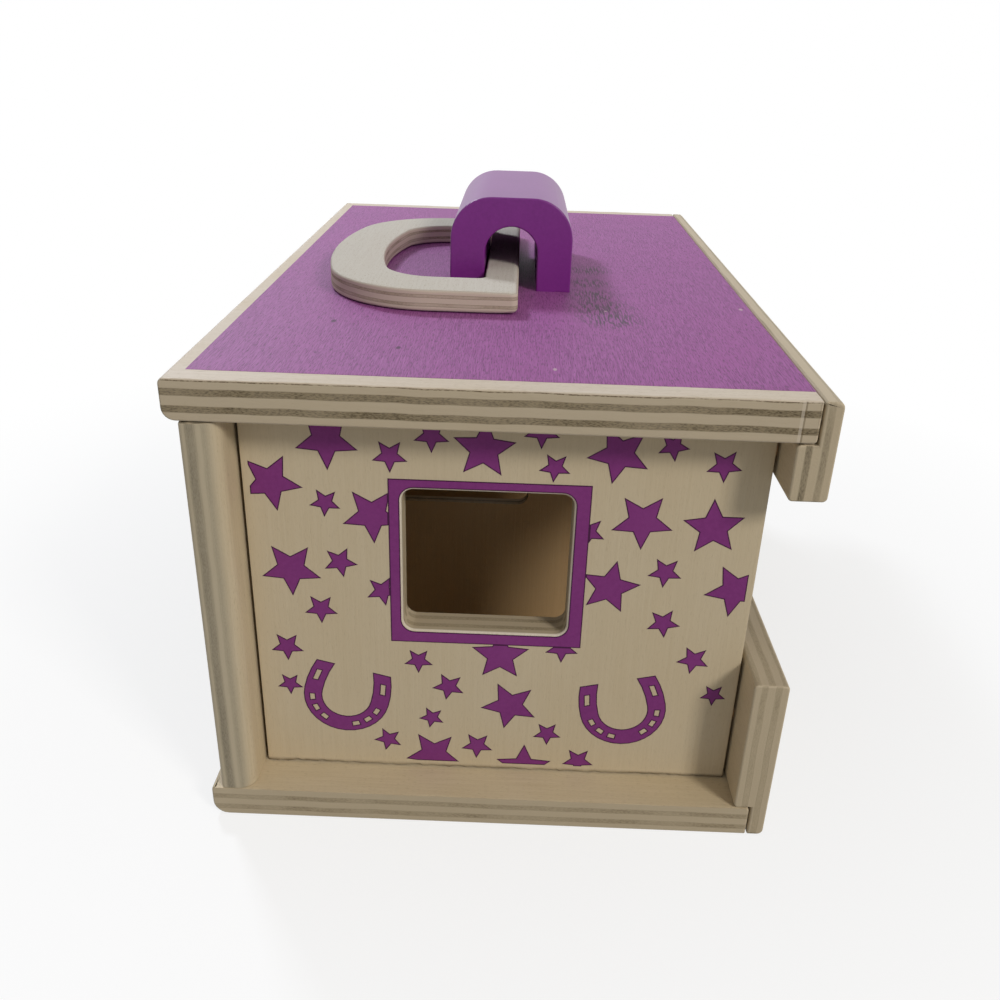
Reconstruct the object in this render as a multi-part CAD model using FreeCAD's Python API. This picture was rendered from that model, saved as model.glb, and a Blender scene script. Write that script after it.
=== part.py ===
import FreeCAD, Part
import math
import os

# A toy stable of glued plywood boards: three stalls behind a half-height front wall, a flat roof
# and a loose D-shaped carry handle that an arch block holds down on the roof.
# +X runs along the stable, -Y is the open front, +Z is up. The origin is on the floor under the
# middle of the stable. All lengths are millimetres.

# Overall
stable_length = 244.0
stable_depth = 150.0
wall_height = 105.5  # base top to roof underside

# Board thicknesses
base_thick = 9.0
roof_thick = 10.0
back_thick = 9.0
front_thick = 9.0  # header and half wall
end_thick = 9.0
divider_thick = 4.0

# Where the boards stand
end_inset = 11.9  # an end wall's outer face behind the ends of the long boards
back_overhang = 3.3  # roof's back edge beyond the back wall
base_back_step = 0.5  # base's back edge short of the roof's
panel_gap = 0.6  # open joint beside an end wall or in front of a divider

# Front boards: a rabbet leaves a lip that covers the edge of the roof or the base
lip_thick = 4.3
lip_gap = 0.4
header_height = 24.2
half_wall_height = 49.2

# Windows
window_width = 43.7
window_height = 41.3
window_round = 3.4
window_sill = 44.5  # base top to the end window's lower edge
window_shift = 3.9  # end window's middle behind the panel's middle
divider_sill = 46.5
divider_window_shift = 14.5

# Stall dividers slide into grooves in the base, the roof and the back wall
divider_count = 2
groove_depth = 2.5
groove_gap = 0.1  # on each side of the divider

# Edge rounds
edge_round = 1.0
end_ease_share = 0.6  # of the edge round, at the boards' sawn ends
rim_ease = 0.5
roof_back_round = 3.0
base_back_round = 4.0
seam_round = 1.5  # roof's and base's front edges, behind the lips
lip_round_share = 0.75  # of the lip that its eased inner edge leaves
back_wall_round = 4.5

# Carry handle: a plywood D whose straight bar lies in the arch's tunnel
handle_thick = 6.0
handle_reach = 59.3  # straight edge to the far side of the grip
handle_band = 16.5
handle_bar = 9.7
handle_side_room = 9.6  # between the arch's ends and the handle's sides
handle_drift = -2.7  # where the loose handle lies along the arch
grip_round = 32.0  # shoulders of the grip
grip_crown = 140.0  # its middle stretch
handle_corner = 2.0
handle_hole_corner = 2.5
handle_ease = 0.8
hinge_flat = 0.8  # half of the flat left on the straight edge, which rolls on the roof
hinge_lead = 0.3  # hinge axis behind the middle of that edge's rounds
hinge_gap = 0.35  # under the flat handle

# Arch block on the roof
arch_length = 62.3
arch_leg = 10.25
arch_crown = 8.3  # above the tunnel
arch_round = 12.0
arch_shift = -0.7  # its middle in front of the stable's middle
arch_ease = 0.8
tunnel_play = 0.28  # round the turning bar
tunnel_headroom = 7.8  # above the turning bar

# Glued dowels
dowel_dia = 5.0
dowel_length = 18.0
dowel_cover = 3.0  # left of the thinner board past the dowel
dowel_fit = 0.1  # round the dowel and at each end
back_dowel_shares = (-0.6, 0.6)  # of half the length
end_dowel_shares = (-0.63, 0.63)  # of half the panel's depth
half_wall_dowel_share = 0.5  # of the half wall's height above the base

# Countersunk wood screws up into the arch's legs
screw_dia = 3.0
screw_length = 22.0
screw_head_dia = 6.0
screw_head_depth = 1.8
screw_tip = 4.0
screw_point_dia = 0.4
screw_sink = 0.4  # head below the roof's underside
screw_fit = 0.15
screw_shares = (-0.64, 0.64)  # of half the arch's length

# Working values
facets = 12  # round the dowels and screws
overrun = 1.0  # how far a cut passes the face that it opens
same_place = 0.01  # edges nearer than this to a plane lie in it

# Levels and faces that several pieces share
half_length = stable_length / 2
front_y = -stable_depth / 2
back_y = stable_depth / 2
front_inner_y = front_y + front_thick
seam_y = front_y + lip_thick + lip_gap
back_outer_y = back_y - back_overhang
back_inner_y = back_outer_y - back_thick
end_outer_x = half_length - end_inset
end_inner_x = end_outer_x - end_thick
end_middle_x = (end_outer_x + end_inner_x) / 2
panel_front_y = front_inner_y + panel_gap
panel_back_y = back_inner_y - panel_gap
panel_middle_y = (panel_front_y + panel_back_y) / 2
back_middle_y = (back_inner_y + back_outer_y) / 2
base_top = base_thick
roof_low = base_top + wall_height
roof_top = roof_low + roof_thick
header_low = roof_top - header_height
lip_back_y = front_y + lip_thick
end_ease = end_ease_share * edge_round
lip_round = lip_round_share * (lip_thick - edge_round)

up = FreeCAD.Vector(0, 0, 1)
down = FreeCAD.Vector(0, 0, -1)
backwards = FreeCAD.Vector(0, 1, 0)

# Hinge: the bar turns about an axis near its straight edge, in a tunnel that clears its sweep
hinge_round = handle_thick / 2 - hinge_flat
hinge_inset = hinge_round + hinge_lead
hinge_z = roof_top + hinge_gap + handle_thick / 2
bar_sweep = math.hypot(handle_bar - hinge_inset, handle_thick / 2 - handle_ease)
tunnel_width = 2 * (bar_sweep + tunnel_play)
tunnel_crown = hinge_z + bar_sweep + tunnel_headroom
arch_width = tunnel_width + 2 * arch_leg
arch_top = tunnel_crown + arch_crown
handle_span = arch_length + 2 * (handle_side_room + handle_band)


def across(u, v):
    # a point of an outline drawn in the YZ plane
    return FreeCAD.Vector(0, u, v)


def flat(u, v):
    # a point of an outline drawn in the XY plane
    return FreeCAD.Vector(u, v, 0)


def corner_arc(before, here, after, radius):
    # start, middle and end of the arc that rounds one corner
    towards_before = (before - here).normalize()
    towards_after = (after - here).normalize()
    half_angle = towards_before.getAngle(towards_after) / 2
    run = radius / math.tan(half_angle)
    bisector = (towards_before + towards_after).normalize()
    middle = here + bisector * (radius / math.sin(half_angle) - radius)
    return here + towards_before * run, middle, here + towards_after * run


def rounded_outline(corners, place):
    # closed wire through corners of (u, v, radius)
    points = [place(u, v) for u, v, radius in corners]
    arcs = []
    for index, (u, v, radius) in enumerate(corners):
        after = points[(index + 1) % len(points)]
        if radius > 0:
            arcs.append(corner_arc(points[index - 1], points[index], after, radius))
        else:
            arcs.append((points[index], None, points[index]))
    edges = []
    for index, (start, middle, end) in enumerate(arcs):
        if middle is not None:
            edges.append(Part.Arc(start, middle, end).toShape())
        following = arcs[(index + 1) % len(arcs)][0]
        if end.distanceToPoint(following) > same_place:
            edges.append(Part.LineSegment(end, following).toShape())
    return Part.Wire(edges)


def long_board(corners):
    # a board of constant section along the whole stable, with eased ends
    section = Part.Face(rounded_outline(corners, across))
    section.translate(FreeCAD.Vector(-half_length, 0, 0))
    board = section.extrude(FreeCAD.Vector(stable_length, 0, 0))
    ends = edges_in_plane(board, "X", -half_length) + edges_in_plane(board, "X", half_length)
    return board.makeChamfer(end_ease, ends)


def edges_in_plane(solid, axis, level):
    chosen = []
    for edge in solid.Edges:
        low = getattr(edge.BoundBox, axis + "Min")
        high = getattr(edge.BoundBox, axis + "Max")
        if abs(low - level) < same_place and abs(high - level) < same_place:
            chosen.append(edge)
    return chosen


def block(low, high):
    size = high - low
    return Part.makeBox(size.x, size.y, size.z, low)


def drilled(solid, holes):
    for hole in holes:
        solid = solid.cut(hole)
    return solid


def faceted(rings):
    # a round solid of flat facets through rings of (diameter, height) about Z
    turns = [2 * math.pi * facet / facets for facet in range(facets + 1)]
    rays = [flat(math.cos(turn), math.sin(turn)) for turn in turns]
    outlines = []
    for diameter, height in rings:
        outlines.append([ray * (diameter / 2) + up * height for ray in rays])
    faces = [Part.Face(Part.makePolygon(outlines[0])), Part.Face(Part.makePolygon(outlines[-1]))]
    for lower, upper in zip(outlines, outlines[1:]):
        for index in range(facets):
            corners = [lower[index], lower[index + 1], upper[index + 1], upper[index], lower[index]]
            faces.append(Part.Face(Part.makePolygon(corners)))
    return Part.Solid(Part.Shell(faces))


# Dowels: one piece, and the hole that it needs in both boards
def dowel(seam, direction, board):
    # seam is where the boards meet on the dowel's axis; direction points out of the thinner board
    start = seam - direction * (board - dowel_cover)
    body = faceted([(dowel_dia, 0), (dowel_dia, dowel_length)])
    body.Placement = FreeCAD.Placement(start, FreeCAD.Rotation(up, direction))
    return body


def dowel_hole(seam, direction, board):
    start = seam - direction * (board - dowel_cover + dowel_fit)
    radius = dowel_dia / 2 + dowel_fit
    return Part.makeCylinder(radius, dowel_length + 2 * dowel_fit, start, direction)


back_wall_seats = []
for share in back_dowel_shares:
    x = share * half_length
    back_wall_seats.append((FreeCAD.Vector(x, back_middle_y, base_top), up, base_thick))
    back_wall_seats.append((FreeCAD.Vector(x, back_middle_y, roof_low), down, roof_thick))

end_wall_seats = []
header_seats = []
half_wall_seats = []
for x in (-end_middle_x, end_middle_x):
    for share in end_dowel_shares:
        y = panel_middle_y + share * (panel_back_y - panel_front_y) / 2
        end_wall_seats.append((FreeCAD.Vector(x, y, base_top), up, base_thick))
        end_wall_seats.append((FreeCAD.Vector(x, y, roof_low), down, roof_thick))
    header_middle = (header_low + roof_low) / 2
    header_seats.append((FreeCAD.Vector(x, front_inner_y, header_middle), backwards, front_thick))
    half_wall_middle = base_top + half_wall_dowel_share * (half_wall_height - base_top)
    half_wall_seats.append((FreeCAD.Vector(x, front_inner_y, half_wall_middle), backwards, front_thick))

back_wall_holes = [dowel_hole(*seat) for seat in back_wall_seats]
end_wall_holes = [dowel_hole(*seat) for seat in end_wall_seats]
header_holes = [dowel_hole(*seat) for seat in header_seats]
half_wall_holes = [dowel_hole(*seat) for seat in half_wall_seats]


# Arch screws: head flush in the roof's underside, point up in the arch's leg
screw_low = roof_low + screw_sink
leg_middle = (tunnel_width + arch_leg) / 2

screw_places = []
for y in (-leg_middle, leg_middle):
    for share in screw_shares:
        screw_places.append(FreeCAD.Vector(share * arch_length / 2, arch_shift + y, screw_low))

one_screw = faceted([
    (screw_head_dia, 0),
    (screw_dia, screw_head_depth),
    (screw_dia, screw_length - screw_tip),
    (screw_point_dia, screw_length),
])

sink_dia = screw_head_dia + 2 * screw_fit
hole_dia = screw_dia + 2 * screw_fit
one_screw_hole = faceted([
    (sink_dia, -screw_sink - overrun),
    (sink_dia, 0),
    (hole_dia, screw_head_depth + screw_fit),
    (hole_dia, screw_length + screw_fit),
])


def copies(solid, places):
    placed = []
    for place in places:
        one = solid.copy()
        one.translate(place)
        placed.append(one)
    return placed


screw_holes = copies(one_screw_hole, screw_places)


# Stall dividers: a tongue on three sides enters the grooves
stall_width = (2 * end_inner_x - divider_count * divider_thick) / (divider_count + 1)
stall_pitch = stall_width + divider_thick
first_divider_x = stall_width + divider_thick / 2 - end_inner_x
divider_places = [first_divider_x + index * stall_pitch for index in range(divider_count)]


def window_cut(middle_y, sill_z, start_x, length):
    sides = (middle_y - window_width / 2, middle_y + window_width / 2)
    top = sill_z + window_height
    outline = rounded_outline([
        (sides[0], sill_z, window_round),
        (sides[1], sill_z, window_round),
        (sides[1], top, window_round),
        (sides[0], top, window_round),
    ], across)
    cut = Part.Face(outline).extrude(FreeCAD.Vector(length, 0, 0))
    cut.translate(FreeCAD.Vector(start_x, 0, 0))
    return cut


def stall_divider(x):
    low = base_top - groove_depth
    high = roof_low + groove_depth
    deep = back_inner_y + groove_depth
    outline = rounded_outline([
        (panel_front_y, low, 0),
        (back_inner_y, low, 0),
        (back_inner_y, base_top, 0),
        (deep, base_top, 0),
        (deep, roof_low, 0),
        (back_inner_y, roof_low, 0),
        (back_inner_y, high, 0),
        (panel_front_y, high, 0),
    ], across)
    panel = Part.Face(outline).extrude(FreeCAD.Vector(divider_thick, 0, 0))
    near_x = x - divider_thick / 2
    panel.translate(FreeCAD.Vector(near_x, 0, 0))
    middle_y = panel_middle_y + divider_window_shift
    cut_start = near_x - overrun
    cut_length = divider_thick + 2 * overrun
    return panel.cut(window_cut(middle_y, base_top + divider_sill, cut_start, cut_length))


def groove(x, low_y, high_y, low_z, high_z):
    half_width = divider_thick / 2 + groove_gap
    low = FreeCAD.Vector(x - half_width, low_y, low_z)
    high = FreeCAD.Vector(x + half_width, high_y, high_z)
    return block(low, high)


groove_front_y = panel_front_y - groove_gap
base_grooves = []
roof_grooves = []
back_grooves = []
for x in divider_places:
    floor_z = base_top - groove_depth
    ceiling_z = roof_low + groove_depth
    bed_y = back_inner_y + groove_depth
    base_grooves.append(groove(x, groove_front_y, back_inner_y, floor_z, base_top + overrun))
    roof_grooves.append(groove(x, groove_front_y, back_inner_y, roof_low - overrun, ceiling_z))
    back_grooves.append(groove(x, back_inner_y - overrun, bed_y, base_top, roof_low))


# Base board
def base_board():
    board = long_board([
        (seam_y, 0, seam_round),
        (back_y - base_back_step, 0, base_back_round),
        (back_y - base_back_step, base_top, edge_round),
        (seam_y, base_top, edge_round),
    ])
    return drilled(board, base_grooves + back_wall_holes + end_wall_holes)


# Roof board
def roof_board():
    board = long_board([
        (seam_y, roof_low, seam_round),
        (back_y, roof_low, roof_back_round),
        (back_y, roof_top, edge_round),
        (seam_y, roof_top, edge_round),
    ])
    return drilled(board, roof_grooves + back_wall_holes + end_wall_holes + screw_holes)


# Back wall: the board's own ends are rounded, most on the inner side
def back_wall():
    outline = rounded_outline([
        (-half_length, back_inner_y, back_wall_round),
        (half_length, back_inner_y, back_wall_round),
        (half_length, back_outer_y, edge_round),
        (-half_length, back_outer_y, edge_round),
    ], flat)
    board = Part.Face(outline).extrude(FreeCAD.Vector(0, 0, wall_height))
    board.translate(FreeCAD.Vector(0, 0, base_top))
    return drilled(board, back_grooves + back_wall_holes)


# Front boards
def front_half_wall():
    board = long_board([
        (front_y, 0, lip_round),
        (lip_back_y, 0, edge_round),
        (lip_back_y, base_top, 0),
        (front_inner_y, base_top, edge_round),
        (front_inner_y, half_wall_height, edge_round),
        (front_y, half_wall_height, lip_round),
    ])
    return drilled(board, half_wall_holes)


def front_header():
    board = long_board([
        (front_y, header_low, lip_round),
        (front_inner_y, header_low, edge_round),
        (front_inner_y, roof_low, edge_round),
        (lip_back_y, roof_low, 0),
        (lip_back_y, roof_top, edge_round),
        (front_y, roof_top, lip_round),
    ])
    return drilled(board, header_holes)


# End walls, mirrored about the stable's middle
def end_wall(side):
    outer = side * end_outer_x
    inner = side * end_inner_x
    low_x = min(outer, inner)
    panel = block(
        FreeCAD.Vector(low_x, panel_front_y, base_top),
        FreeCAD.Vector(low_x + end_thick, panel_back_y, roof_low),
    )
    middle_y = panel_middle_y + window_shift
    cut_length = end_thick + 2 * overrun
    panel = panel.cut(window_cut(middle_y, base_top + window_sill, low_x - overrun, cut_length))
    rims = []
    for face_x in (outer, inner):
        for edge in edges_in_plane(panel, "X", face_x):
            on_base = abs(edge.BoundBox.ZMax - base_top) < same_place
            on_roof = abs(edge.BoundBox.ZMin - roof_low) < same_place
            if not on_base and not on_roof:
                rims.append(edge)
    panel = panel.makeChamfer(rim_ease, rims)
    return drilled(panel, end_wall_holes + header_holes + half_wall_holes)


# Arch block
def handle_arch():
    left = arch_shift - arch_width / 2
    right = arch_shift + arch_width / 2
    outline = rounded_outline([
        (left, roof_top, 0),
        (right, roof_top, 0),
        (right, arch_top, arch_round),
        (left, arch_top, arch_round),
    ], across)
    tunnel_left = arch_shift - tunnel_width / 2
    tunnel_right = arch_shift + tunnel_width / 2
    tunnel_low = roof_top - overrun
    tunnel = rounded_outline([
        (tunnel_left, tunnel_low, 0),
        (tunnel_right, tunnel_low, 0),
        (tunnel_right, tunnel_crown, tunnel_width / 2),
        (tunnel_left, tunnel_crown, tunnel_width / 2),
    ], across)
    along = FreeCAD.Vector(arch_length, 0, 0)
    arch = Part.Face(outline).extrude(along).cut(Part.Face(tunnel).extrude(along))
    arch.translate(FreeCAD.Vector(-arch_length / 2, 0, 0))
    rims = []
    for face_x in (-arch_length / 2, arch_length / 2):
        for edge in edges_in_plane(arch, "X", face_x):
            if edge.BoundBox.ZMax > roof_top + same_place:
                rims.append(edge)
    arch = arch.makeChamfer(arch_ease, rims)
    return drilled(arch, screw_holes)


# Carry handle, drawn with its straight edge on v = 0 and the grip towards +v
half_span = handle_span / 2
crown_run = math.sqrt((grip_crown - grip_round)**2 - (half_span - grip_round)**2)
curve_start = handle_reach - grip_crown + crown_run


def d_outline(inset, start, corner):
    # two straight sides joined by a three-centred curve, all moved in by the inset
    side = half_span - inset
    tip = handle_reach - inset
    crown_centre = flat(0, handle_reach - grip_crown)
    round_centre = flat(half_span - grip_round, curve_start)
    slope = (round_centre - crown_centre).normalize()
    join = crown_centre + slope * (grip_crown - inset)
    outwards = (slope + flat(1, 0)).normalize()
    shoulder = round_centre + outwards * (grip_round - inset)
    foot = flat(side, start)
    run_in, foot_arc, run_out = corner_arc(flat(-side, start), foot, flat(side, tip), corner)
    bend = flat(side, curve_start)

    def mirrored(point):
        return flat(-point.x, point.y)

    return Part.Wire([
        Part.LineSegment(mirrored(run_in), run_in).toShape(),
        Part.Arc(run_in, foot_arc, run_out).toShape(),
        Part.LineSegment(run_out, bend).toShape(),
        Part.Arc(bend, shoulder, join).toShape(),
        Part.Arc(join, flat(0, tip), mirrored(join)).toShape(),
        Part.Arc(mirrored(join), mirrored(shoulder), mirrored(bend)).toShape(),
        Part.LineSegment(mirrored(bend), mirrored(run_out)).toShape(),
        Part.Arc(mirrored(run_out), mirrored(foot_arc), mirrored(run_in)).toShape(),
    ])


def carry_handle():
    thickness = FreeCAD.Vector(0, 0, handle_thick)
    plate = Part.Face(d_outline(0, 0, handle_corner)).extrude(thickness)
    hole = Part.Face(d_outline(handle_band, handle_bar, handle_hole_corner)).extrude(thickness)
    plate = plate.cut(hole)
    rims = edges_in_plane(plate, "Z", 0) + edges_in_plane(plate, "Z", handle_thick)
    plate = plate.makeChamfer(handle_ease, rims)
    roll = rounded_outline([
        (0, 0, hinge_round),
        (handle_reach + overrun, 0, 0),
        (handle_reach + overrun, handle_thick, 0),
        (0, handle_thick, hinge_round),
    ], across)
    length = handle_span + 2 * overrun
    envelope = Part.Face(roll).extrude(FreeCAD.Vector(length, 0, 0))
    envelope.translate(FreeCAD.Vector(-length / 2, 0, 0))
    plate = plate.common(envelope)
    plate.translate(FreeCAD.Vector(handle_drift, arch_shift - hinge_inset, hinge_z - handle_thick / 2))
    return plate


# Nodes
nodes = {
    "base_board": base_board(),
    "roof_board": roof_board(),
    "back_wall": back_wall(),
    "front_half_wall": front_half_wall(),
    "front_header": front_header(),
    "left_end_wall": end_wall(-1),
    "right_end_wall": end_wall(1),
    "left_stall_divider": stall_divider(divider_places[0]),
    "right_stall_divider": stall_divider(divider_places[-1]),
    "handle_arch": handle_arch(),
    "carry_handle": carry_handle(),
    "arch_screws": Part.makeCompound(copies(one_screw, screw_places)),
    "back_wall_dowels": Part.makeCompound([dowel(*seat) for seat in back_wall_seats]),
    "end_wall_dowels": Part.makeCompound([dowel(*seat) for seat in end_wall_seats]),
    "header_dowels": Part.makeCompound([dowel(*seat) for seat in header_seats]),
    "half_wall_dowels": Part.makeCompound([dowel(*seat) for seat in half_wall_seats]),
}

os.makedirs("parts", exist_ok=True)
for name, shape in nodes.items():
    shape.exportStep("parts/" + name + ".step")
    print(name, "solids", len(shape.Solids), "valid", shape.isValid(), "volume", round(shape.Volume, 1))
print("hinge axis along X at", round(arch_shift, 3), round(hinge_z, 3))
print("tunnel", round(tunnel_width, 2), "arch", round(arch_width, 2), round(arch_top - roof_top, 2))
print("handle span", round(handle_span, 2), "curve starts", round(curve_start, 2))
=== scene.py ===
import math

import bmesh
import bpy
from mathutils import Matrix, Vector


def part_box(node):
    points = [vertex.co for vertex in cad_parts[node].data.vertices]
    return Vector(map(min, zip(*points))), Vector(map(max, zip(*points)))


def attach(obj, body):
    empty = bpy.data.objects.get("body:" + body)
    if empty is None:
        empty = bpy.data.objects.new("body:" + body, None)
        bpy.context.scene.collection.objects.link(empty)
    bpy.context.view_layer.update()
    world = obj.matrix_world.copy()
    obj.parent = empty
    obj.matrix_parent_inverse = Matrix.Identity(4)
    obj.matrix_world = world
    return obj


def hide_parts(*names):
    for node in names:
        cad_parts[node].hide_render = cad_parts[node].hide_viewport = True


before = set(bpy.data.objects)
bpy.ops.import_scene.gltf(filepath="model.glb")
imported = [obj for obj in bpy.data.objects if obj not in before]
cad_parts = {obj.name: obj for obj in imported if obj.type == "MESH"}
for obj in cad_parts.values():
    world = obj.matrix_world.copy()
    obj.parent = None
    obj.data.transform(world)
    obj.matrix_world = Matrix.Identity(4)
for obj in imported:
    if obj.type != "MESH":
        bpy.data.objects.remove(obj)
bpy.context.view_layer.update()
mm = 0.001
touching = 0.002 * mm    # points this near to a plane lie in it
sharpAngle = math.radians(30)     # edges past this are eased
smoothAngle = math.radians(40)    # faces up to this shade as one
print("frame loaded:", len(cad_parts), "nodes")


# Working in edit mode
def clearSelection():
    if bpy.context.mode != "OBJECT":
        bpy.ops.object.mode_set(mode="OBJECT")
    bpy.ops.object.select_all(action="DESELECT")


def pickPiece(piece):
    clearSelection()
    piece.select_set(True)
    bpy.context.view_layer.objects.active = piece


def openPiece(piece):
    pickPiece(piece)
    bpy.ops.object.mode_set(mode="EDIT")


def applyPlace(piece):
    # moves the object's place, turn and scale into its mesh
    pickPiece(piece)
    bpy.ops.object.transform_apply(location=True, rotation=True, scale=True)


def choose(piece, kind, test, sharpOnly=False, middle=None, added=False):
    # picks the verts, edges or faces whose corners all pass the test
    openPiece(piece)
    bpy.ops.mesh.select_mode(type=kind)
    if not added:
        bpy.ops.mesh.select_all(action="DESELECT")
    shape = bmesh.from_edit_mesh(piece.data)
    parts = {"VERT": shape.verts, "EDGE": shape.edges, "FACE": shape.faces}[kind]
    count = 0
    for part in parts:
        corners = [part.co] if kind == "VERT" else [vert.co for vert in part.verts]
        if sharpOnly and part.calc_face_angle(0) < sharpAngle:
            continue
        if middle and not middle(sum(corners, Vector()) / len(corners)):
            continue
        if all(test(corner) for corner in corners):
            part.select_set(True)
            count += 1
    shape.select_flush_mode()
    bmesh.update_edit_mesh(piece.data)
    return count


def onPlanes(*planes):
    # a test that a corner lies on every (axis, level) plane
    return lambda corner: all(abs(corner[axis] - level) < touching for axis, level in planes)


def inside(low, high):
    # a test that a corner lies in a box; None leaves a side open
    def test(corner):
        for value, least, most in zip(corner, low, high):
            if least is not None and value < least - touching:
                return False
            if most is not None and value > most + touching:
                return False
        return True
    return test


def blockBetween(name, low, high):
    clearSelection()
    low, high = Vector(low), Vector(high)
    bpy.ops.mesh.primitive_cube_add(size=1, location=(low + high) / 2)
    piece = bpy.context.object
    piece.name = name
    piece.scale = high - low
    applyPlace(piece)
    return piece


def cutThrough(piece, axis, level, **trim):
    # a flat cut through the whole piece; trim can drop one side
    openPiece(piece)
    bpy.ops.mesh.select_all(action="SELECT")
    point = [0, 0, 0]
    point[axis] = level
    normal = [0, 0, 0]
    normal[axis] = 1
    bpy.ops.mesh.bisect(plane_co=point, plane_no=normal, threshold=touching, **trim)


def roundEdges(piece, radius, steps, test, sharpOnly=False, middle=None):
    if choose(piece, "EDGE", test, sharpOnly, middle):
        bpy.ops.mesh.bevel(offset=radius, segments=steps, profile=0.5, affect="EDGES")


def extrudeBy(x, y, z):
    bpy.ops.mesh.extrude_region_move(TRANSFORM_OT_translate={"value": (x, y, z)})


def roughen(piece, amount, seed, test):
    # hand-sanded edges are never quite straight
    if choose(piece, "VERT", test):
        bpy.ops.transform.vertex_random(offset=amount, seed=seed)


def splitEvenly(piece, axis, low, high, count):
    for step in range(1, count):
        cutThrough(piece, axis, low + (high - low) * step / count)


def ownCopy(piece, name):
    copied = piece.copy()
    copied.data = piece.data.copy()
    copied.name = name
    bpy.context.collection.objects.link(copied)
    return copied


def joinPieces(pieces, name):
    clearSelection()
    for piece in pieces:
        piece.select_set(True)
    bpy.context.view_layer.objects.active = pieces[0]
    bpy.ops.object.join()
    joined = bpy.context.object
    joined.name = name
    applyPlace(joined)
    return joined


def finishPiece(piece, body, slot, material, *replaced):
    openPiece(piece)
    bpy.ops.mesh.select_all(action="SELECT")
    bpy.ops.mesh.remove_doubles(threshold=touching)
    bpy.ops.mesh.normals_make_consistent(inside=False)
    bpy.ops.object.mode_set(mode="OBJECT")
    bpy.ops.object.shade_smooth_by_angle(angle=smoothAngle)
    even = piece.modifiers.new("evenNormals", "WEIGHTED_NORMAL")
    even.keep_sharp = True
    bpy.ops.object.modifier_apply(modifier=even.name)
    if not piece.data.materials:
        piece.data.materials.append(material)
    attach(piece, body)
    if replaced:
        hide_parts(*replaced)


# Materials
def hexColour(code):
    # sRGB hex to linear
    channels = [int(code[start:start + 2], 16) / 255 for start in (1, 3, 5)]
    linear = [c / 12.92 if c <= 0.04045 else ((c + 0.055) / 1.055) ** 2.4 for c in channels]
    return (*linear, 1.0)


def addNode(tree, kind, inputs, **settings):
    # links sockets and nodes (by their first output in use) and sets plain values
    node = tree.nodes.new("ShaderNode" + kind)
    for name, value in settings.items():
        setattr(node, name, value)
    for socket, value in inputs.items():
        if isinstance(value, bpy.types.Node):
            value = next(output for output in value.outputs if output.enabled)
        if isinstance(value, bpy.types.NodeSocket):
            tree.links.new(value, node.inputs[socket])
        else:
            node.inputs[socket].default_value = value
    return node


def newMaterial(name):
    material = bpy.data.materials.new(name)
    material.use_nodes = True
    tree = material.node_tree
    return material, tree, tree.nodes["Principled BSDF"]


def addPatterns(tree, place, patterns):
    # noise by name, each with its size across, size along one axis (mm), that axis and its detail
    made = {}
    for name, (across, along, axis, detail) in patterns.items():
        scale = [1 / (across * mm)] * 3
        scale[axis] = 1 / (along * mm)
        sized = addNode(tree, "Mapping", {"Vector": place.outputs["Object"], "Scale": scale})
        made[name] = addNode(tree, "TexNoise", {"Vector": sized, "Scale": 1, "Detail": detail})
    return made


birch = {
    "pale": "#D1C2A6", "streak": "#C3B292", "warm": "#C9B590", "pore": "#A39070",
    "edgePale": "#BDAE94",
    # the dark glue-line tone below also colours the painted shade at a wall's foot
    "endDark": "#63553D", "endPale": "#9C8D70", "fleck": "#3A2C1A", "glueAndShade": "#5A4930",
    "streakShare": 0.6, "patchShare": 0.35, "poreShare": 0.4, "contrast": 0.85, "faded": 0.5,
    "fleckShare": 0.8, "seamShare": 0.2, "soft": 0.18, "narrow": 0.3, "inner": 1.0, "roughness": 0.5,
    "endRoughness": 0.8, "gloss": 0.3, "relief": 0.07,
    "waverPlies": 0.17, "seamHalf": 0.15, "faceLineHalf": 0.07,    # parts of a ply or of its wave
    "sawStrokes": ((0, 0.35, "pale"), (0.55, 0.2, "glueAndShade")), "sawShare": 0.5,    # mm behind, half width, tone
    # the painted shade at a wall's foot: its height in mm and its share
    "footShadeHeight": 1.6, "footShadeShare": 0.9,
}


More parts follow.
